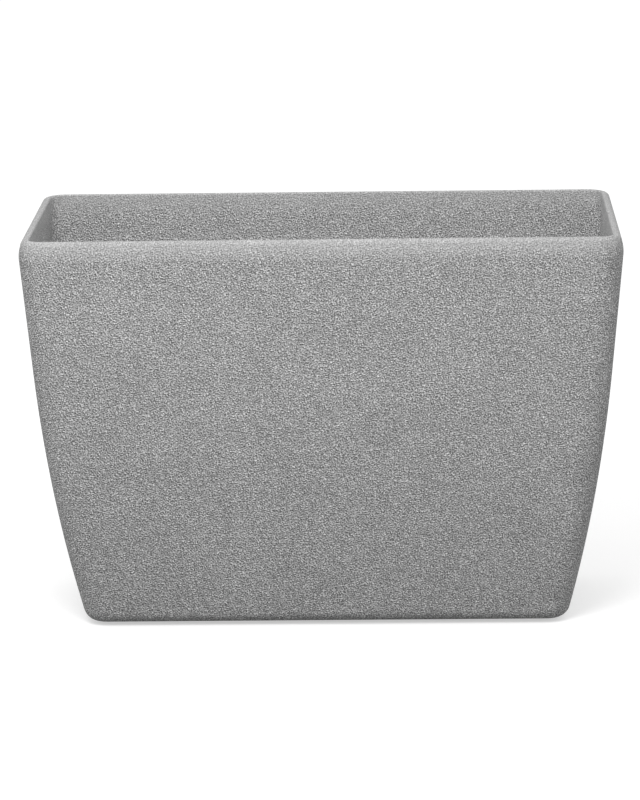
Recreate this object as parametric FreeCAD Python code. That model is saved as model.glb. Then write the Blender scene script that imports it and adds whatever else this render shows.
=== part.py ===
import FreeCAD, Part
import math
import os

# A rectangular trough planter that stands on the floor: one moulded shell with walls that curve in to a
# smaller base, a slotted drainage plate on legs inside it, and a rubber bung in each of two floor drains.
# Frame: X along the length, Y across the depth, Z up, origin on the ground under the trough's middle.
# Millimetres and degrees; every size that can be set by itself is here, once.

# Trough, outside
LENGTH = 600.0              # over the widest line, just under the rim
DEPTH = 300.0               # over the same line
BODY_HEIGHT = 405.0         # base edge to the top of the rim
UPPER_SLOPE = 4.9           # lean of the straight upper wall
END_SLOPE = 13.4            # lean of the wall at its base, and its lean inwards at the rim
BELLY_HEIGHT = 267.0        # above the base edge: below this the straight wall curves in
SHOULDER_RADIUS = 40.0      # slow roll of the wall under the rim
RIM_OUTER_RADIUS = 6.2      # both less where the rim is too narrow for them
RIM_INNER_RADIUS = 3.0
CORNER_RADIUS = 25.0        # upright corners
BASE_EDGE_RADIUS = 15.4

# Trough, inside
WALL = 8.0
RIM_THICKENING = 2.4        # how much thicker than the wall the rim is
RIM_BLEND_RADIUS = 300.0    # runs the thicker rim into the wall inside
FLOOR = 8.0

# Moulded foot pads
FOOT_HEIGHT = 3.0
FOOT_LENGTH = 70.0
FOOT_WIDTH = 16.0
FOOT_SPREAD = 0.6           # from the middle, as a share of the flat base's half depth

# Drains and their bungs
DRAIN_BOSS_WALL = 9.0
DRAIN_BOSS_HEIGHT = 6.0
BUNG_RADIUS = 8.95
BUNG_FIT = 0.05             # radial clearance of the bung in its bore
BUNG_TIP = 1.5              # how far the bung stands up past its boss
BUNG_TIP_CHAMFER = 1.2
FLANGE_WIDTH = 5.5
FLANGE_THICKNESS = 2.5
RECESS_DEPTH = 4.0          # the flange lies in a recess under the floor
RECESS_GAP = 1.5
GRIP_HEIGHT = 3.5
GRIP_THICKNESS = 4.0

# Drainage plate
PLATE_STANDOFF = 56.0       # from the trough's floor to the underside of the deck
PLATE_THICKNESS = 3.0
PLATE_GAP = 3.0             # to the trough's wall, all round
SKIRT_DEPTH = 12.0
SKIRT_THICKNESS = 2.5
RIB_DEPTH = 6.0
RIB_THICKNESS = 2.0
LONG_CELL_COUNT = 8         # the ribs divide the deck into cells
CROSS_CELL_COUNT = 4
CELL_SLOT_COUNT = 2
SLOT_WIDTH = 3.0
SLOT_MARGIN = 8.0           # from a slot's ends to the middle of the ribs
LEG_LONG_COUNT = 3          # cells from the middle to the outer legs
LEG_CROSS_COUNT = 1
LEG_WIDTH_TOP = 26.0
LEG_WIDTH_FOOT = 18.0
LEG_THICKNESS = 3.0
FINGER_LENGTH = 72.0        # two slots to lift the plate by
FINGER_WIDTH = 24.0

TOLERANCE = 0.001
TRIM = 4.0                  # how far a form runs past the cuts that finish it
SEAM = 4.0                  # straight wall kept beside a rounded edge
RIM_ROUND_SHARE = 0.65      # most of the rim's width that its outer round may take
RIM_FLAT = 0.25             # kept between the rim's two rounds
ROOT_TWO = math.sqrt(2)
UP = FreeCAD.Vector(0, 0, 1)

# Heights from the ground
base_z = FOOT_HEIGHT
floor_z = base_z + FLOOR
mid_floor_z = base_z + FLOOR / 2
rim_z = base_z + BODY_HEIGHT
belly_z = base_z + BELLY_HEIGHT
deck_z = floor_z + PLATE_STANDOFF
boss_z = floor_z + DRAIN_BOSS_HEIGHT
recess_z = base_z + RECESS_DEPTH
grip_z = recess_z - FLANGE_THICKNESS

# Drains, and the pads beside them
station_x = LENGTH / 4
bore_radius = BUNG_RADIUS + BUNG_FIT
flange_radius = BUNG_RADIUS + FLANGE_WIDTH
recess_radius = flange_radius + RECESS_GAP


def corner_lean(wall_slope):
    """Lean from upright, in radians, of the corner line between two walls of this slope."""
    return math.atan(ROOT_TWO * math.tan(math.radians(wall_slope)))


def on_circle(centre, radius, lean):
    return centre[0] + radius * math.cos(lean), centre[1] - radius * math.sin(lean)


def circle_centre(point, radius, lean):
    return point[0] - radius * math.cos(lean), point[1] + radius * math.sin(lean)


def lean_at_height(centre, radius, z):
    return math.asin((centre[1] - z) / radius)


def up_the_lean(point, lean, z):
    """The point at height z on the straight line through a point."""
    return point[0] + (z - point[1]) * math.tan(lean), z


def round_drop(radius):
    """Height that a rounded edge takes of the wall's end."""
    return radius * (1 - math.sin(math.radians(END_SLOPE)))


def round_reach(radius):
    """How far a rounded edge runs in over the level face."""
    return round_drop(radius) / math.cos(math.radians(END_SLOPE))


# The corner line sets the form. In the upright plane that halves a corner it is a short straight foot, the
# belly arc, a straight lean, the shoulder's roll and a short straight lean inwards, each tangent to the
# next; the rounded edges take up the short straights. A point there is (run, z): the run is measured
# outwards from the corner of the widest line and is root two times the wall's own inset, so a wall's
# radius is divided by root two.
rim_width = WALL + RIM_THICKENING
upper_lean = corner_lean(UPPER_SLOPE)
end_lean = corner_lean(END_SLOPE)
rim_radius = min(RIM_OUTER_RADIUS, RIM_ROUND_SHARE * rim_width)
shoulder_radius = SHOULDER_RADIUS / ROOT_TWO
shoulder_top_z = rim_z - round_drop(rim_radius) - SEAM
shoulder_centre = (-shoulder_radius, shoulder_top_z - shoulder_radius * math.sin(end_lean))
shoulder_foot = on_circle(shoulder_centre, shoulder_radius, upper_lean)
shoulder_top = on_circle(shoulder_centre, shoulder_radius, -end_lean)
belly_foot_z = base_z + round_drop(BASE_EDGE_RADIUS) + SEAM
belly_top = up_the_lean(shoulder_foot, upper_lean, belly_z)
belly_radius = (belly_z - belly_foot_z) / (math.sin(end_lean) - math.sin(upper_lean))
belly_centre = circle_centre(belly_top, belly_radius, upper_lean)
belly_foot = on_circle(belly_centre, belly_radius, end_lean)
inner_belly_radius = belly_radius - ROOT_TWO * WALL
inner_corner_radius = CORNER_RADIUS - rim_width
base_inset = -up_the_lean(belly_foot, end_lean, base_z)[0] / ROOT_TWO + round_reach(BASE_EDGE_RADIUS)
rim_inset = -up_the_lean(shoulder_top, -end_lean, rim_z)[0] / ROOT_TWO + round_reach(rim_radius)
lip_radius = min(RIM_INNER_RADIUS, rim_width - rim_inset - RIM_FLAT)


def inside_inset(z):
    """How far the belly's inner face stands in from the widest line at height z."""
    run = on_circle(belly_centre, inner_belly_radius, lean_at_height(belly_centre, inner_belly_radius, z))[0]
    return -run / ROOT_TWO


def outside_line():
    """The outside corner line, base to rim: ("arc", centre, radius, lean, lean) or
    ("line", point, point, lean). It runs on past both ends."""
    return [("line", up_the_lean(belly_foot, end_lean, base_z - TRIM), belly_foot, end_lean),
            ("arc", belly_centre, belly_radius, end_lean, upper_lean),
            ("line", belly_top, shoulder_foot, upper_lean),
            ("arc", shoulder_centre, shoulder_radius, upper_lean, -end_lean),
            ("line", shoulder_top, up_the_lean(shoulder_top, -end_lean, rim_z + TRIM), -end_lean)]


def inside_line():
    """The inside corner line, floor to rim: the outside one moved in by the wall, up to an upright
    stretch at the thicker rim, with a large arc between them."""
    start = lean_at_height(belly_centre, inner_belly_radius, floor_z - TRIM)
    top = on_circle(belly_centre, inner_belly_radius, upper_lean)
    blend_radius = RIM_BLEND_RADIUS / ROOT_TWO
    lip_run = -ROOT_TWO * rim_width
    blend_foot_run = lip_run - blend_radius * (1 - math.cos(upper_lean))
    blend_foot = (blend_foot_run, top[1] + (blend_foot_run - top[0]) / math.tan(upper_lean))
    blend_centre = circle_centre(blend_foot, blend_radius, upper_lean)
    return [("arc", belly_centre, inner_belly_radius, start, upper_lean),
            ("line", top, blend_foot, upper_lean),
            ("arc", blend_centre, blend_radius, upper_lean, 0.0),
            ("line", (lip_run, blend_centre[1]), (lip_run, rim_z + TRIM), 0.0)]


def corner_axes(sign_x, sign_y):
    """Outward and sideways directions at one corner, and the corner point of the widest line."""
    outward = FreeCAD.Vector(sign_x, sign_y, 0) / ROOT_TWO
    sideways = FreeCAD.Vector(-sign_y, sign_x, 0) / ROOT_TWO
    return outward, sideways, FreeCAD.Vector(sign_x * LENGTH / 2, sign_y * DEPTH / 2, 0)


# A tube is (radius, turn): the turn, either side of straight outwards, is where its flat walls are tangent.
def tube_for(radius, lean):
    return radius, math.atan(math.cos(lean))


def tube_point(corner, station, turn, radius):
    """Point on the round tube that makes a corner: turn is the angle from straight outwards."""
    outward, sideways, origin = corner
    (run, z), lean = station
    radial = outward * math.cos(lean) - UP * math.sin(lean)
    return origin + outward * run + UP * z + (radial * math.cos(turn) + sideways * math.sin(turn)) * radius


def tube_spine(segment, tube):
    """Stations ((run, z), lean) of the tube's centre line under a stretch of corner line, and the centre
    of its arc. It lies in from the line by a level step and one square to the line, so that walls which
    meet the tube at its turn keep the line's inset."""
    radius, turn = tube
    level, square = radius * math.sin(turn), radius * math.cos(turn)
    if segment[0] == "arc":
        centre, line_radius, low, high = segment[1:]
        middle = (centre[0] - level, centre[1])
        return [(on_circle(middle, line_radius - square, lean), lean)
                for lean in (low, (low + high) / 2, high)], middle
    start, end, lean = segment[1:]
    inward, rise = level + square * math.cos(lean), square * math.sin(lean)
    return [((run - inward, z + rise), lean) for run, z in (start, end)], None


def tube_face(corner, stations, centre, tube):
    """The tube between its walls over one stretch: part of a torus over an arc, of a cylinder over a line."""
    outward, sideways, origin = corner
    radius, turn = tube
    across = Part.Arc(*[tube_point(corner, stations[0], angle, radius) for angle in (-turn, 0, turn)])
    if centre is None:
        travel = tube_point(corner, stations[1], 0, radius) - tube_point(corner, stations[0], 0, radius)
        return across.toShape().extrude(travel)
    pivot = origin + outward * centre[0] + UP * centre[1]
    return across.toShape().revolve(pivot, sideways, math.degrees(stations[-1][1] - stations[0][1]))


def wall_face(corner, following, stations, tube):
    """The wall between two tubes: flat over a line, ruled over an arc."""
    radius, turn = tube
    near = [tube_point(corner, station, turn, radius) for station in stations]
    far = [tube_point(following, station, -turn, radius) for station in stations]
    if len(stations) == 2:
        return Part.Face(Part.makePolygon([near[0], far[0], far[1], near[1], near[0]]))
    return Part.makeRuledSurface(Part.Arc(*near).toShape(), Part.Arc(*far).toShape())


def end_faces(corners, station, tube):
    """Closes one end of the form: a segment of a circle across each tube and an octagon between them."""
    radius, turn = tube
    faces = []
    outline = []
    for corner in corners:
        low, crown, high = [tube_point(corner, station, angle, radius) for angle in (-turn, 0, turn)]
        faces.append(Part.Face(Part.Wire([Part.Arc(low, crown, high).toShape(), Part.makeLine(high, low)])))
        outline += [low, high]
    return faces + [Part.Face(Part.makePolygon(outline + outline[:1]))]


def tapered_block(line, tube, low_z, high_z):
    """The solid inside four corner tubes and the walls between them, cut level at both ends."""
    corners = [corner_axes(*signs) for signs in ((1, 1), (-1, 1), (-1, -1), (1, -1))]
    faces = []
    for segment in line:
        stations, centre = tube_spine(segment, tube)
        for corner, following in zip(corners, corners[1:] + corners[:1]):
            faces.append(tube_face(corner, stations, centre, tube))
            faces.append(wall_face(corner, following, stations, tube))
    for segment, end in ((line[0], 0), (line[-1], -1)):
        faces += end_faces(corners, tube_spine(segment, tube)[0][end], tube)
    skin = Part.makeShell(faces)
    skin.sewShape()
    return Part.makeSolid(skin).common(box(0, 0, LENGTH + TRIM, DEPTH + TRIM, low_z, high_z)).Solids[0]


def box(x, y, length, width, low_z, high_z):
    """A box centred on x, y."""
    corner = FreeCAD.Vector(x - length / 2, y - width / 2, low_z)
    return Part.makeBox(length, width, high_z - low_z, corner)


def cylinder(x, y, radius, low_z, high_z):
    return Part.makeCylinder(radius, high_z - low_z, FreeCAD.Vector(x, y, low_z))


def rounded_box(x, y, length, width, radius, low_z, high_z):
    """A box with its four upright edges rounded."""
    block = box(x, y, length, width, low_z, high_z)
    return block.makeFillet(radius, [edge for edge in block.Edges if edge.BoundBox.ZLength > TOLERANCE])


def stadium(x, y, length, width, low_z, high_z):
    """A block with half-round ends."""
    half = (length - width) / 2
    ends = [cylinder(x + side * half, y, width / 2, low_z, high_z) for side in (-1, 1)]
    return box(x, y, 2 * half, width, low_z, high_z).fuse(ends).removeSplitter()


def level_edges(shape, z):
    """Edges that lie flat at one height."""
    def height(edge, share):
        first, last = edge.ParameterRange
        return edge.valueAt(first + share * (last - first)).z
    return [edge for edge in shape.Edges
            if all(abs(height(edge, share) - z) < TOLERANCE for share in (0, 0.5, 1))]


def in_mouth(edge):
    """True for an edge of the opening: it lies within the rim's width of neither side."""
    point = edge.valueAt(sum(edge.ParameterRange) / 2)
    reach = rim_width - TOLERANCE
    return abs(point.x) < LENGTH / 2 - reach and abs(point.y) < DEPTH / 2 - reach


def planter_shell():
    """The moulded trough: walls and rim, floor, foot pads, and a boss and recess at each drain."""
    outside = tapered_block(outside_line(), tube_for(CORNER_RADIUS, end_lean), base_z, rim_z)
    outside = outside.makeFillet(BASE_EDGE_RADIUS, level_edges(outside, base_z))
    outside = outside.makeFillet(rim_radius, level_edges(outside, rim_z))
    shell = outside.cut(tapered_block(inside_line(), tube_for(inner_corner_radius, 0), floor_z, rim_z))
    shell = shell.makeFillet(lip_radius, [edge for edge in level_edges(shell, rim_z) if in_mouth(edge)])
    foot_y = FOOT_SPREAD * (DEPTH / 2 - base_inset)
    for x in (-station_x, station_x):
        pads = [stadium(x, y, FOOT_LENGTH, FOOT_WIDTH, 0, mid_floor_z) for y in (-foot_y, foot_y)]
        boss = cylinder(x, 0, bore_radius + DRAIN_BOSS_WALL, mid_floor_z, boss_z)
        shell = shell.fuse(pads + [boss])
        shell = shell.cut([cylinder(x, 0, recess_radius, base_z - TRIM, recess_z),
                           cylinder(x, 0, bore_radius, base_z, boss_z + TRIM)])
    return shell


def drain_bung(x):
    """A turned rubber bung: flange, stem with a chamfered tip, and a grip bar underneath."""
    tip_z = boss_z + BUNG_TIP
    outline = [(0, grip_z), (flange_radius, grip_z), (flange_radius, recess_z), (BUNG_RADIUS, recess_z),
               (BUNG_RADIUS, tip_z - BUNG_TIP_CHAMFER), (BUNG_RADIUS - BUNG_TIP_CHAMFER, tip_z), (0, tip_z)]
    points = [FreeCAD.Vector(x + radius, 0, z) for radius, z in outline]
    stem = Part.Face(Part.makePolygon(points + points[:1])).revolve(FreeCAD.Vector(x, 0, 0), UP, 360)
    grip = box(x, 0, GRIP_THICKNESS, 2 * flange_radius - RECESS_GAP, grip_z - GRIP_HEIGHT, grip_z)
    return stem.fuse(grip)


def leg(x, y):
    """Two crossed blades that taper down to the trough's floor, in line with the ribs."""
    half_top, half_foot = LEG_WIDTH_TOP / 2, LEG_WIDTH_FOOT / 2
    blades = []
    for along, across in ((FreeCAD.Vector(1, 0, 0), FreeCAD.Vector(0, 1, 0)),
                          (FreeCAD.Vector(0, 1, 0), FreeCAD.Vector(1, 0, 0))):
        middle = FreeCAD.Vector(x, y, 0) - across * (LEG_THICKNESS / 2)
        points = [middle + along * run + UP * z for run, z in
                  ((-half_foot, floor_z), (half_foot, floor_z), (half_top, deck_z), (-half_top, deck_z))]
        blades.append(Part.Face(Part.makePolygon(points + points[:1])).extrude(across * LEG_THICKNESS))
    return blades[0].fuse(blades[1])


def lines_between(pitch, count):
    """Where the lines fall that divide a span, centred on zero, into so many pitches."""
    return [pitch * (line - count / 2) for line in range(1, count)]


def middles(pitch, count):
    """The middles of the same pitches."""
    return [pitch * (step - (count - 1) / 2) for step in range(count)]


def drainage_plate():
    """The false floor: a slotted deck with a skirt, ribs, crossed-blade legs and two finger slots."""
    skirt_z = deck_z - SKIRT_DEPTH
    rib_z = deck_z - RIB_DEPTH
    top_z = deck_z + PLATE_THICKNESS
    inset = inside_inset(skirt_z) + PLATE_GAP
    length, width = LENGTH - 2 * inset, DEPTH - 2 * inset
    radius = inner_corner_radius - PLATE_GAP
    under_length, under_width = length - 2 * SKIRT_THICKNESS, width - 2 * SKIRT_THICKNESS
    blank = rounded_box(0, 0, length, width, radius, skirt_z, top_z)
    hollow = rounded_box(0, 0, under_length, under_width, radius - SKIRT_THICKNESS, skirt_z - TRIM, deck_z)

    cell_x, cell_y = under_length / LONG_CELL_COUNT, under_width / CROSS_CELL_COUNT
    ribs = [box(x, 0, RIB_THICKNESS, under_width, rib_z, deck_z)
            for x in lines_between(cell_x, LONG_CELL_COUNT)]
    ribs += [box(0, y, under_length, RIB_THICKNESS, rib_z, deck_z)
             for y in lines_between(cell_y, CROSS_CELL_COUNT)]
    leg_x, leg_y = LEG_LONG_COUNT * cell_x, LEG_CROSS_COUNT * cell_y
    legs = [leg(0, 0)] + [leg(x, y) for x in (-leg_x, leg_x) for y in (-leg_y, leg_y)]

    finger_rows = (-cell_y / 2, cell_y / 2)
    collars = [stadium(0, y, FINGER_LENGTH + 2 * SKIRT_THICKNESS, FINGER_WIDTH + 2 * SKIRT_THICKNESS,
                       rib_z, deck_z) for y in finger_rows]
    fingers = [stadium(0, y, FINGER_LENGTH, FINGER_WIDTH, rib_z - TRIM, top_z + TRIM) for y in finger_rows]
    finger_reach = FINGER_LENGTH / 2 + SLOT_MARGIN
    slots = [box(x, y, SLOT_WIDTH, cell_y - 2 * SLOT_MARGIN, deck_z - TRIM, top_z + TRIM)
             for x in middles(cell_x / CELL_SLOT_COUNT, LONG_CELL_COUNT * CELL_SLOT_COUNT)
             for y in middles(cell_y, CROSS_CELL_COUNT)
             if abs(x) > finger_reach or abs(y) > cell_y]
    return blank.cut(hollow).fuse(ribs + legs + collars).cut(fingers + slots).removeSplitter()


os.makedirs("parts", exist_ok=True)
parts = {
    "planter_shell": planter_shell(),
    "drainage_plate": drainage_plate(),
    "drain_plug_left": drain_bung(-station_x),
    "drain_plug_right": drain_bung(station_x),
}
for name, shape in parts.items():
    solid = shape.Solids[0] if len(shape.Solids) == 1 else shape
    solid.exportStep(f"parts/{name}.step")
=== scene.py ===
import math

import bpy
import numpy as np
from mathutils import Matrix, Vector


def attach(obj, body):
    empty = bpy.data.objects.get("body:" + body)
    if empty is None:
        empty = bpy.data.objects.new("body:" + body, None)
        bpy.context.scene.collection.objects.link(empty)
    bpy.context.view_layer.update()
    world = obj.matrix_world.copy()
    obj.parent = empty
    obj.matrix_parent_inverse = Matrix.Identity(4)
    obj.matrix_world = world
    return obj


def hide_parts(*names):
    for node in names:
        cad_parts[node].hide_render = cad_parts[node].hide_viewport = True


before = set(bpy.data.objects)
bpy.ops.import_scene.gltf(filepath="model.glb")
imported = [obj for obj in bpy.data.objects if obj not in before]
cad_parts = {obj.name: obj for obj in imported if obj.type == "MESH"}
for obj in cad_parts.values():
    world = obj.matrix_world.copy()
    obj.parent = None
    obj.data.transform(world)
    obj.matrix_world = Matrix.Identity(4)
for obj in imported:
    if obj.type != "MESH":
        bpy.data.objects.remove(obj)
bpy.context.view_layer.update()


# ---------------------------------------------------------------- the trough
# One rotational moulding in mid-grey stone-look plastic. The walls rise from a small rounded base in a
# slow belly, run straight, roll in at the shoulder and turn over a soft lip; the same fine stucco, left
# by the mould, covers it inside and out. Floor, drain bosses and foot pads belong to the same moulding.
LENGTH, DEPTH = 0.600, 0.300                # over the widest line, just under the rim
BASE_Z, RIM_Z = 0.003, 0.408
END_SLOPE = math.radians(13.4)              # lean of the wall at its base, and its lean inwards at the rim
UPPER_SLOPE = math.radians(4.9)
BELLY_Z = 0.270                             # below this the straight wall curves in
SHOULDER_RADIUS = 0.040
RIM_OUTER_RADIUS, RIM_INNER_RADIUS = 0.0062, 0.00212
BASE_EDGE_RADIUS = 0.0154
CORNER_RADIUS = 0.025
WALL, RIM_WIDTH = 0.008, 0.0104
RIM_BLEND_RADIUS = 0.300                    # runs the thicker rim into the wall inside
FLOOR_Z = 0.011
SEAM = 0.004                                # straight wall kept beside a rounded edge
ROOT_TWO = math.sqrt(2)

BASE_ROWS, BELLY_ROWS, STRAIGHT_ROWS, SHOULDER_ROWS = 12, 34, 16, 14
RIM_ROWS, LIP_ROWS, BLEND_ROWS = 10, 7, 8
LONG_COLUMNS, SHORT_COLUMNS, CORNER_COLUMNS = 72, 40, 16


def corner_lean(wall_slope):
    """Lean of the corner line between two walls: its tangent is root two times the wall's."""
    return math.atan(ROOT_TWO * math.tan(wall_slope))


def arc_rows(centre_inset, centre_z, radius, angles, side):
    """Rows of a round: inset = centre - side * radius * cos(angle), z = centre + radius * sin(angle)."""
    insets = centre_inset - side * radius * np.cos(angles)
    return np.stack([insets, centre_z + radius * np.sin(angles)], 1)


def lean_rows(centre, radius, leans):
    """Rows of a wall arc that is a circle in the corner's own plane: run = centre + radius * cos(lean),
    z = centre - radius * sin(lean), and the wall's inset is the run turned inwards over root two."""
    insets = -(centre[0] + radius * np.cos(leans)) / ROOT_TWO
    return np.stack([insets, centre[1] - radius * np.sin(leans)], 1)


def line_rows(start, end):
    """Rows evenly spaced on a straight between start and end, without its two ends."""
    share = np.linspace(0, 1, STRAIGHT_ROWS, endpoint=False)[1:, None]
    return np.asarray(start) * (1 - share) + np.asarray(end) * share


def corner_radius(lean, radius, end_lean):
    """Radius, in a level section, of a corner that is a round tube leaning with the corner line: the
    tube's crown lies in by radius * (sin turn - (1 - cos turn) / cos lean), over root two less one."""
    turn = math.atan(math.cos(end_lean))
    return radius * (math.sin(turn) - (1 - math.cos(turn)) / np.cos(lean)) / (ROOT_TWO - 1)


def straight_inset(row, slope, z):
    """Inset at height z of the straight wall that leaves a row with this slope: the row's inset less the
    rise times the slope's tangent."""
    return row[0] - (z - row[1]) * math.tan(slope)


end_lean, upper_lean = corner_lean(END_SLOPE), corner_lean(UPPER_SLOPE)
belly_leans = np.linspace(end_lean, upper_lean, BELLY_ROWS)
shoulder_leans = np.linspace(upper_lean, -end_lean, SHOULDER_ROWS)
blend_leans = np.linspace(0, upper_lean, BLEND_ROWS)
round_share = (1 - math.sin(END_SLOPE)) / math.cos(END_SLOPE)

# The outside, worked out from the shoulder down to the base, and then up to the flat of the rim
shoulder_top_z = RIM_Z - RIM_OUTER_RADIUS * (1 - math.sin(END_SLOPE)) - SEAM
shoulder_centre = (-SHOULDER_RADIUS / ROOT_TWO,
                   shoulder_top_z - SHOULDER_RADIUS / ROOT_TWO * math.sin(end_lean))
shoulder = lean_rows(shoulder_centre, SHOULDER_RADIUS / ROOT_TWO, shoulder_leans)
belly_foot_z = BASE_Z + BASE_EDGE_RADIUS * (1 - math.sin(END_SLOPE)) + SEAM
belly_radius = (BELLY_Z - belly_foot_z) / (math.sin(end_lean) - math.sin(upper_lean))
belly_top_inset = straight_inset(shoulder[0], UPPER_SLOPE, BELLY_Z)
belly_centre = (-ROOT_TWO * belly_top_inset - belly_radius * math.cos(upper_lean),
                BELLY_Z + belly_radius * math.sin(upper_lean))
belly = lean_rows(belly_centre, belly_radius, belly_leans)
base_centre_inset = straight_inset(belly[0], END_SLOPE, BASE_Z) + BASE_EDGE_RADIUS * round_share
base_round = arc_rows(base_centre_inset, BASE_Z + BASE_EDGE_RADIUS, BASE_EDGE_RADIUS,
                      np.linspace(-math.pi / 2, -END_SLOPE, BASE_ROWS), 1)
rim_centre_inset = straight_inset(shoulder[-1], -END_SLOPE, RIM_Z) + RIM_OUTER_RADIUS * round_share
rim_round = arc_rows(rim_centre_inset, RIM_Z - RIM_OUTER_RADIUS, RIM_OUTER_RADIUS,
                     np.linspace(END_SLOPE, math.pi / 2, RIM_ROWS), 1)

# The inside, from the lip down to the floor
lip_round = arc_rows(RIM_WIDTH - RIM_INNER_RADIUS, RIM_Z - RIM_INNER_RADIUS, RIM_INNER_RADIUS,
                     np.linspace(math.pi / 2, 0, LIP_ROWS), -1)
inner_belly_radius = belly_radius - ROOT_TWO * WALL
floor_lean = math.asin((belly_centre[1] - FLOOR_Z) / inner_belly_radius)
inner_belly = lean_rows(belly_centre, inner_belly_radius, np.linspace(upper_lean, floor_lean, BELLY_ROWS))
blend_radius = RIM_BLEND_RADIUS / ROOT_TWO
blend_foot_inset = RIM_WIDTH + blend_radius * (1 - math.cos(upper_lean)) / ROOT_TWO
blend_foot_z = inner_belly[0, 1] + (inner_belly[0, 0] - blend_foot_inset) / math.tan(UPPER_SLOPE)
blend_centre = (-ROOT_TWO * blend_foot_inset - blend_radius * math.cos(upper_lean),
                blend_foot_z + blend_radius * math.sin(upper_lean))
blend = lean_rows(blend_centre, blend_radius, blend_leans)

# Each stretch of the wall with the radius that its upright corners have, from the base round to the floor
outer_end_radius = corner_radius(end_lean, CORNER_RADIUS, end_lean)
inner_end_radius = CORNER_RADIUS - RIM_WIDTH
stretches = [
    (base_round, outer_end_radius - (base_round[:, 0] - base_round[-1, 0])),
    (belly, corner_radius(belly_leans, CORNER_RADIUS, end_lean)),
    (line_rows(belly[-1], shoulder[0]), corner_radius(upper_lean, CORNER_RADIUS, end_lean)),
    (shoulder, corner_radius(shoulder_leans, CORNER_RADIUS, end_lean)),
    (rim_round, outer_end_radius - (rim_round[:, 0] - rim_round[0, 0])),
    (lip_round, inner_end_radius + (RIM_WIDTH - lip_round[:, 0])),
    (blend, corner_radius(blend_leans, inner_end_radius, 0)),
    (line_rows(blend[-1], inner_belly[0]), corner_radius(upper_lean, inner_end_radius, 0)),
    (inner_belly, corner_radius(belly_leans[::-1], inner_end_radius, 0)),
]
profile = np.concatenate([rows for rows, _ in stretches])
radii = np.concatenate([np.broadcast_to(radius, len(rows)) for rows, radius in stretches])


def ring_columns(long_count, short_count, corner_count):
    """Columns round a level rounded rectangle, anticlockwise from +X: each is a point of its straight
    core, from -1 to 1 both ways, and an outward normal. A quarter turn of normals makes each corner."""
    core, normal = [], []
    for quarter, count in enumerate((short_count, long_count, short_count, long_count)):
        facing = quarter * math.pi / 2
        along = np.linspace(-1, 1, count, endpoint=False)
        ahead = np.array([math.cos(facing), math.sin(facing)])
        left = np.array([-ahead[1], ahead[0]])
        core.append(ahead + along[:, None] * left)
        normal.append(np.broadcast_to(ahead, (count, 2)))
        turns = facing + np.linspace(0, math.pi / 2, corner_count, endpoint=False)
        core.append(np.broadcast_to(ahead + left, (corner_count, 2)))
        normal.append(np.stack([np.cos(turns), np.sin(turns)], 1))
    return np.concatenate(core), np.concatenate(normal)


def ring_points(rows, row_radii, columns):
    """Points of level rounded rectangles, one a row: core * (half size - inset - radius), and on from
    there radius * normal."""
    core, normal = columns
    half = np.array([LENGTH, DEPTH]) / 2 - rows[:, :1] - row_radii[:, None]
    flat = core[None] * half[:, None] + normal[None] * row_radii[:, None, None]
    height = np.broadcast_to(rows[:, 1:, None], (len(rows), len(core), 1))
    return np.concatenate([flat, height], 2)


def grid_faces(first, rows, columns, closed):
    """Quads between neighbouring rows of a grid whose first vertex is given; closed joins its last
    column to its first."""
    across = columns if closed else columns - 1
    low = first + np.arange(rows - 1)[:, None] * columns + np.arange(across)[None]
    beside = first + np.arange(rows - 1)[:, None] * columns + (np.arange(across)[None] + 1) % columns
    return np.stack([low, beside, beside + columns, low + columns], 2).reshape(-1, 4)


WELD_DIGITS = 7                             # points of different grids within 0.1 micron are one
SHARP_ANGLE = math.radians(40)


def mesh_piece(name, grids):
    """One mesh of several grids, (points by row and column, closed, turned over), welded where they meet.
    Where a row shrinks to a point, a quad has two corners in one place and becomes a triangle."""
    points, quads, first = [], [], 0
    for grid, closed, turned in grids:
        faces = grid_faces(first, grid.shape[0], grid.shape[1], closed)
        quads.append(faces[:, ::-1] if turned else faces)
        points.append(grid.reshape(-1, 3))
        first += grid.shape[0] * grid.shape[1]
    points, quads = np.concatenate(points), np.concatenate(quads)
    _, kept, merged = np.unique(np.round(points, WELD_DIGITS), axis=0, return_index=True,
                                return_inverse=True)
    quads = merged.reshape(-1)[quads]
    doubled = quads == np.roll(quads, -1, axis=1)
    at_pole = doubled.any(axis=1)
    triangles = quads[at_pole][~doubled[at_pole]].reshape(-1, 3)
    mesh = bpy.data.meshes.new(name)
    mesh.from_pydata(points[kept].tolist(), [], quads[~at_pole].tolist() + triangles.tolist())
    mesh.validate()
    mesh.shade_smooth()
    mesh.set_sharp_from_angle(angle=SHARP_ANGLE)
    piece = bpy.data.objects.new(name, mesh)
    bpy.context.scene.collection.objects.link(piece)
    return piece


# The floor has a drain in each half: a bore through a low boss, over a recess for the bung's flange
DRAIN_X = LENGTH / 4
BORE_RADIUS = 0.009
RECESS_RADIUS, RECESS_Z = 0.01595, 0.007
BOSS_RADIUS, BOSS_Z = 0.018, 0.017
BORE_EASING, BOSS_EASING, BOSS_FOOT = 0.0006, 0.0008, 0.0006
UNDERSIDE_SHARES = (0.35, 0.7, 0.9)         # rows between the underside's edge and the recess
FLOOR_SHARES = (0.1, 0.3, 0.65)             # rows between the boss and the inside's edge
CUT_POINTS = 23
MIDDLE_SLACK = 1e-6

drain_rings = [
    (RECESS_RADIUS, BASE_Z),
    (RECESS_RADIUS, RECESS_Z - BORE_EASING),
    (RECESS_RADIUS - BORE_EASING, RECESS_Z),
    (BORE_RADIUS, RECESS_Z),
    (BORE_RADIUS, BOSS_Z - BORE_EASING),
    (BORE_RADIUS + BORE_EASING, BOSS_Z),
    (BOSS_RADIUS - BOSS_EASING, BOSS_Z),
    (BOSS_RADIUS, BOSS_Z - BOSS_EASING),
    (BOSS_RADIUS, FLOOR_Z + BOSS_FOOT),
    (BOSS_RADIUS + BOSS_EASING, FLOOR_Z),
]


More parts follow.
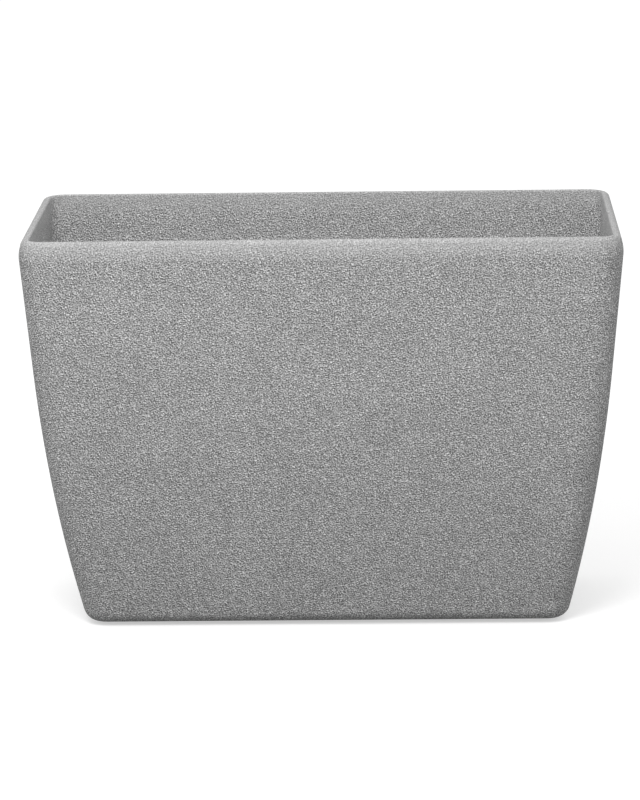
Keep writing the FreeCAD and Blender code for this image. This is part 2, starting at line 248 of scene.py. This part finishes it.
def floor_edge(ring, side):
    """The edge of half the floor: the wall ring's own points on this side of the middle, then evenly
    spaced points of a straight cut from the last of them back to the first."""
    kept = np.flatnonzero(ring[:, 0] * side > -MIDDLE_SLACK)
    start = kept[np.diff(kept, prepend=kept[-1] - len(ring)) != 1][0]
    run = ring[(start + np.arange(len(kept))) % len(ring)]
    across = -side * np.linspace(-1, 1, CUT_POINTS + 2)[1:-1] * abs(run[0, 1])
    cut = np.column_stack([np.zeros(CUT_POINTS), across, np.full(CUT_POINTS, run[0, 2])])
    return np.concatenate([run, cut])


def circle(spokes, middle, radius, z):
    """Points of a level circle, each in the direction of its spoke from the middle."""
    away = spokes[:, :2] - middle
    away = away / np.linalg.norm(away, axis=1)[:, None]
    return np.column_stack([middle + away * radius, np.full(len(spokes), z)])


def floor_half(side):
    """Half the floor round its drain: spokes run from the underside's edge in to the recess, up its wall,
    out of the bore, over the boss and out again to the inside's edge. Each spoke's points move evenly
    from edge to circle."""
    under, over = floor_edge(wall_grid[0], side), floor_edge(wall_grid[-1], side)
    circles = [circle(under, np.array([side * DRAIN_X, 0.0]), *ring) for ring in drain_rings]
    inwards = [under * (1 - share) + circles[0] * share for share in UNDERSIDE_SHARES]
    outwards = [circles[-1] * (1 - share) + over * share for share in FLOOR_SHARES]
    return np.stack([under] + inwards + circles + outwards + [over])


# Four foot pads under the floor keep the drains open
PAD_X, PAD_Y = 0.150, 0.0502
PAD_RADIUS = 0.008
PAD_HALF_STRAIGHT = 0.027
PAD_EASING, PAD_BEVEL = 0.001, 0.0003
PAD_TOP_Z = 0.005
PAD_TURNS = 17

pad_rows = [
    (0, PAD_TOP_Z),
    (PAD_RADIUS, PAD_TOP_Z),
    (PAD_RADIUS, PAD_EASING),
    (PAD_RADIUS - PAD_BEVEL, PAD_BEVEL),
    (PAD_RADIUS - PAD_EASING, 0),
    (0, 0),
]


def foot_pad(x, y):
    """A pad under the base: rows of a stadium outline, half circles of the row's radius at both ends,
    whose lower edge is rounded; it starts inside the floor, and rows of no radius close it."""
    turns = np.linspace(-math.pi / 2, math.pi / 2, PAD_TURNS)
    half_circle = np.stack([np.cos(turns), np.sin(turns)], 1)
    ends = np.concatenate([half_circle, -half_circle])
    shift = np.repeat([PAD_HALF_STRAIGHT, -PAD_HALF_STRAIGHT], PAD_TURNS)
    return np.stack([np.column_stack([x + shift + ends[:, 0] * radius, y + ends[:, 1] * radius,
                                      np.full(len(ends), z)]) for radius, z in pad_rows])


wall_grid = ring_points(profile, radii, ring_columns(LONG_COLUMNS, SHORT_COLUMNS, CORNER_COLUMNS))
walls = [(wall_grid, True, False)]
floor = [(floor_half(side), True, True) for side in (1, -1)]
pads = [(foot_pad(x, y), True, False) for x in (-PAD_X, PAD_X) for y in (-PAD_Y, PAD_Y)]
trough = mesh_piece("trough", walls + floor + pads)


def new_group(name, inputs, outputs):
    """An empty shader node group with these named inputs (name, kind, value) and outputs (name, kind)."""
    group = bpy.data.node_groups.new(name, "ShaderNodeTree")
    for label, kind, value in inputs:
        socket = group.interface.new_socket(label, in_out="INPUT", socket_type=kind)
        socket.default_value = value
    for label, kind in outputs:
        group.interface.new_socket(label, in_out="OUTPUT", socket_type=kind)
    return group


def add_node(tree, kind, settings=None, values=None):
    """A node with its settings, and its inputs set to values or linked where the value is a socket."""
    node = tree.nodes.new(kind)
    for setting, value in (settings or {}).items():
        setattr(node, setting, value)
    for label, value in (values or {}).items():
        if isinstance(value, bpy.types.NodeSocket):
            tree.links.new(value, node.inputs[label])
        else:
            node.inputs[label].default_value = value
    return node


def math_node(tree, operation, first, second):
    """The result of one sum on two values or sockets."""
    return add_node(tree, "ShaderNodeMath", {"operation": operation}, {0: first, 1: second}).outputs[0]


# Grain of a moulding: crowded crumbs and pits as a height, with painted shade in the pits and painted
# highlight on the crumbs, over faint broad clouds of tone. Above Calm Height crumbs fade to half, as where
# a trimmed lip has been rubbed down.
GRAIN_TURN = (0.6, 0.9, 0.4)                # lays the noise askew to the walls
CRUMB_REACH = 0.0013
CLOUD_SIZE, CLOUD_DETAIL, CLOUD_ROUGHNESS = 16.0, 4.0, 0.62
NOISE_MIDDLE = 0.5
CALM_Z, CALM_SPAN, CALM_SHARE = 0.386, 0.016, 0.55
CRUMB_POLISH = -0.2                         # crumbs are rubbed smoother than pits

grain = new_group("moulded_grain_and_painted_shade",
                  [("Size", "NodeSocketFloat", 300.0), ("Colour", "NodeSocketColor", (0.3, 0.3, 0.3, 1)),
                   ("Relief Shade", "NodeSocketFloat", 0.1), ("Clouds", "NodeSocketFloat", 0.1),
                   ("Calm Height", "NodeSocketFloat", 1.0), ("Roughness", "NodeSocketFloat", 0.8)],
                  [("Height", "NodeSocketFloat"), ("Colour", "NodeSocketColor"),
                   ("Roughness", "NodeSocketFloat")])
given = add_node(grain, "NodeGroupInput")
place = add_node(grain, "ShaderNodeTexCoord").outputs["Object"]
turned = add_node(grain, "ShaderNodeMapping", None, {"Vector": place, "Rotation": GRAIN_TURN}).outputs[0]


def noise_at(offset):
    """The grain's own noise, read at an offset in metres."""
    there = add_node(grain, "ShaderNodeVectorMath", {"operation": "ADD"}, {0: turned, 1: offset}).outputs[0]
    return add_node(grain, "ShaderNodeTexNoise", {"noise_dimensions": "3D"},
                    {"Vector": there, "Scale": given.outputs["Size"], "Detail": 0.0}).outputs["Fac"]


# A crumb stands out from its neighbours: the noise less its mean at six points round about
neighbours = [(x, 0, 0) for x in (-CRUMB_REACH, CRUMB_REACH)]
neighbours += [(0, y, 0) for y in (-CRUMB_REACH, CRUMB_REACH)]
neighbours += [(0, 0, z) for z in (-CRUMB_REACH, CRUMB_REACH)]
total = 0.0
for offset in neighbours:
    total = math_node(grain, "ADD", total, noise_at(offset))
around = math_node(grain, "DIVIDE", total, float(len(neighbours)))
crumb = math_node(grain, "SUBTRACT", noise_at((0, 0, 0)), around)

broad = add_node(grain, "ShaderNodeTexNoise", {"noise_dimensions": "3D"},
                 {"Vector": place, "Scale": CLOUD_SIZE, "Detail": CLOUD_DETAIL,
                  "Roughness": CLOUD_ROUGHNESS}).outputs["Fac"]
cloud = math_node(grain, "MULTIPLY", math_node(grain, "SUBTRACT", broad, NOISE_MIDDLE),
                  given.outputs["Clouds"])

height_up = add_node(grain, "ShaderNodeSeparateXYZ", None, {0: place}).outputs["Z"]
above = math_node(grain, "SUBTRACT", height_up, given.outputs["Calm Height"])
calm = add_node(grain, "ShaderNodeMapRange", None,
                {"Value": above, "From Min": 0.0, "From Max": CALM_SPAN,
                 "To Min": 1.0, "To Max": CALM_SHARE}).outputs[0]
relief = math_node(grain, "MULTIPLY", crumb, calm)
# Painted shade and highlight: the relief times this strength darkens the pits and lightens the crumbs in
# the colour
painted_relief_shade = math_node(grain, "MULTIPLY", relief, given.outputs["Relief Shade"])

# The colour is multiplied by e to the power of the painted shade of the relief and the cloud together: pits
# painted darker, crumbs painted paler
shade = math_node(grain, "EXPONENT", math_node(grain, "ADD", painted_relief_shade, cloud), 0.0)
tinted = add_node(grain, "ShaderNodeVectorMath", {"operation": "SCALE"},
                  {0: given.outputs["Colour"], "Scale": shade}).outputs[0]
polish = math_node(grain, "MULTIPLY", painted_relief_shade, CRUMB_POLISH)
worn = math_node(grain, "ADD", given.outputs["Roughness"], polish)
sent = add_node(grain, "NodeGroupOutput")
grain.links.new(relief, sent.inputs["Height"])
grain.links.new(tinted, sent.inputs["Colour"])
grain.links.new(worn, sent.inputs["Roughness"])


def grained_material(name, colour, size, depth, relief_shade, clouds, roughness, specular):
    """A moulded finish: the grain group feeds colour, with painted shade in the pits and painted highlight
    on the crumbs, and roughness, and a bump of this depth in metres.
    """
    material = bpy.data.materials.new(name)
    material.use_nodes = True
    tree = material.node_tree
    shader = tree.nodes["Principled BSDF"]
    shader.inputs["Specular IOR Level"].default_value = specular
    texture = add_node(tree, "ShaderNodeGroup", {"node_tree": grain},
                       {"Size": size, "Colour": (*colour, 1), "Relief Shade": relief_shade, "Clouds": clouds,
                        "Calm Height": CALM_Z, "Roughness": roughness})
    bump = add_node(tree, "ShaderNodeBump", None,
                    {"Strength": 1.0, "Distance": depth, "Height": texture.outputs["Height"]})
    tree.links.new(texture.outputs["Colour"], shader.inputs["Base Color"])
    tree.links.new(texture.outputs["Roughness"], shader.inputs["Roughness"])
    tree.links.new(bump.outputs["Normal"], shader.inputs["Normal"])
    return material


# The grain's shade strength paints shade into the pits and highlight onto the crumbs; the bump gives the
# real relief
stucco = grained_material("stone_stucco", colour=(0.355, 0.355, 0.355), size=680.0, depth=0.0015,
                          relief_shade=2.5, clouds=0.22, roughness=0.82, specular=0.3)
trough.data.materials.append(stucco)
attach(trough, "trough")
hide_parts("planter_shell")


# ---------------------------------------------------------------- the drainage plate
# An injection-moulded false floor in charcoal plastic: slotted deck, skirt, ribs and crossed-blade legs.
# It stands loose on the trough's floor and keeps the soil out of the water.
plate_plastic = grained_material("plate_plastic", colour=(0.05, 0.05, 0.053), size=900.0, depth=0.00008,
                                 relief_shade=0.25, clouds=0.2, roughness=0.55, specular=0.5)
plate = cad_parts["drainage_plate"]
plate.data.materials.clear()
plate.data.materials.append(plate_plastic)


# ---------------------------------------------------------------- the two drain bungs
# Moulded black rubber, each a slightly chamfered plug on a thin flange. They are pushed up into the
# drains from below and pulled out again by the bar across the flange.
rubber = grained_material("bung_rubber", colour=(0.028, 0.028, 0.029), size=1400.0, depth=0.00005,
                          relief_shade=0.3, clouds=0.3, roughness=0.7, specular=0.35)
for node in ("drain_plug_left", "drain_plug_right"):
    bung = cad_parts[node]
    bung.data.materials.clear()
    bung.data.materials.append(rubber)


# ---------------------------------------------------------------- the studio
# A wide sheet of pale paper under a white sky. To the camera both are white, and the paper keeps the
# trough's shadow; a soft square lamp stands above and in front, a little to the left.
PAPER_HALF = 20.0
PAPER_ROUGHNESS = 0.9
PAPER_BOUNCE, PAPER_SHOWN, PAPER_GLOW = 0.2, 0.6, 0.5
SKY_LIGHT, SKY_SHOWN = 0.9, 1.0
LAMP_PLACE, LAMP_AIM = Vector((-0.22, -1.20, 1.49)), Vector((0, 0, 0.25))
LAMP_SIZE, LAMP_POWER = 0.7, 19.0

sheet = np.array([[(x, y, 0.0) for x in (-PAPER_HALF, PAPER_HALF)] for y in (-PAPER_HALF, PAPER_HALF)])
paper_floor = mesh_piece("paper_floor", [(sheet, False, False)])


def seen_directly(tree):
    """1 for a ray from the camera, a gloss or a glass, and 0 for the light that falls on other things."""
    ray = add_node(tree, "ShaderNodeLightPath")
    mirrored = math_node(tree, "MAXIMUM", ray.outputs["Is Glossy Ray"], ray.outputs["Is Transmission Ray"])
    return math_node(tree, "MAXIMUM", ray.outputs["Is Camera Ray"], mirrored)


def between(tree, share, low, high):
    """low + share * (high - low)."""
    return math_node(tree, "ADD", math_node(tree, "MULTIPLY", share, high - low), low)


paper = bpy.data.materials.new("white_paper")
paper.use_nodes = True
paper_tree = paper.node_tree
paper_shader = paper_tree.nodes["Principled BSDF"]
paper_shader.inputs["Roughness"].default_value = PAPER_ROUGHNESS
paper_shader.inputs["Specular IOR Level"].default_value = 0.0
paper_shader.inputs["Emission Color"].default_value = (1, 1, 1, 1)
seen = seen_directly(paper_tree)
paper_colour = between(paper_tree, seen, PAPER_BOUNCE, PAPER_SHOWN)
paper_glow = between(paper_tree, seen, 0.0, PAPER_GLOW)
paper_tree.links.new(paper_colour, paper_shader.inputs["Base Color"])
paper_tree.links.new(paper_glow, paper_shader.inputs["Emission Strength"])

# From below, the paper is see-through
see_through = add_node(paper_tree, "ShaderNodeBsdfTransparent")
facing_down = add_node(paper_tree, "ShaderNodeNewGeometry").outputs["Backfacing"]
one_sided = add_node(paper_tree, "ShaderNodeMixShader", None,
                     {0: facing_down, 1: paper_shader.outputs[0], 2: see_through.outputs[0]})
paper_tree.links.new(one_sided.outputs[0], paper_tree.nodes["Material Output"].inputs["Surface"])
paper_floor.data.materials.append(paper)

sky = bpy.data.worlds.new("studio_sky")
sky.use_nodes = True
sky_tree = sky.node_tree
sky_shader = sky_tree.nodes["Background"]
sky_shader.inputs["Color"].default_value = (1, 1, 1, 1)
sky_strength = between(sky_tree, seen_directly(sky_tree), SKY_LIGHT, SKY_SHOWN)
sky_tree.links.new(sky_strength, sky_shader.inputs["Strength"])
bpy.context.scene.world = sky

soft_light = bpy.data.lights.new("key", "AREA")
soft_light.size = LAMP_SIZE
soft_light.energy = LAMP_POWER
lamp = bpy.data.objects.new("key", soft_light)
lamp.location = LAMP_PLACE
lamp.rotation_euler = (LAMP_AIM - LAMP_PLACE).to_track_quat("-Z", "Y").to_euler()
lamp.visible_camera = False
bpy.context.scene.collection.objects.link(lamp)


# ---------------------------------------------------------------- the camera
# A long lens from a little above the rim, worked out from the outline of the trough in the photograph.
# It looks along forward at a point in the trough's middle, and right and up turn it about that line.
YAW, PITCH, ROLL = math.radians(1.412), math.radians(12.427), math.radians(-0.809)
CAMERA_AIM = Vector((-0.005745, 0, 0.214418))
CAMERA_DISTANCE = 4.13967
SENSOR_WIDTH, FOCAL_LENGTH = 36.0, 180.6

forward = Vector((-math.sin(YAW) * math.cos(PITCH), math.cos(YAW) * math.cos(PITCH), -math.sin(PITCH)))
level = forward.cross(Vector((0, 0, 1))).normalized()
upright = level.cross(forward)
right = level * math.cos(ROLL) + upright * math.sin(ROLL)
up = upright * math.cos(ROLL) - level * math.sin(ROLL)
lens = bpy.data.cameras.new("camera")
lens.sensor_width = SENSOR_WIDTH
lens.lens = FOCAL_LENGTH
camera = bpy.data.objects.new("camera", lens)
turn = Matrix((right, up, -forward)).transposed().to_4x4()
camera.matrix_world = Matrix.Translation(CAMERA_AIM - forward * CAMERA_DISTANCE) @ turn
bpy.context.scene.collection.objects.link(camera)
bpy.context.scene.camera = camera
bpy.context.scene.view_settings.view_transform = "Standard"
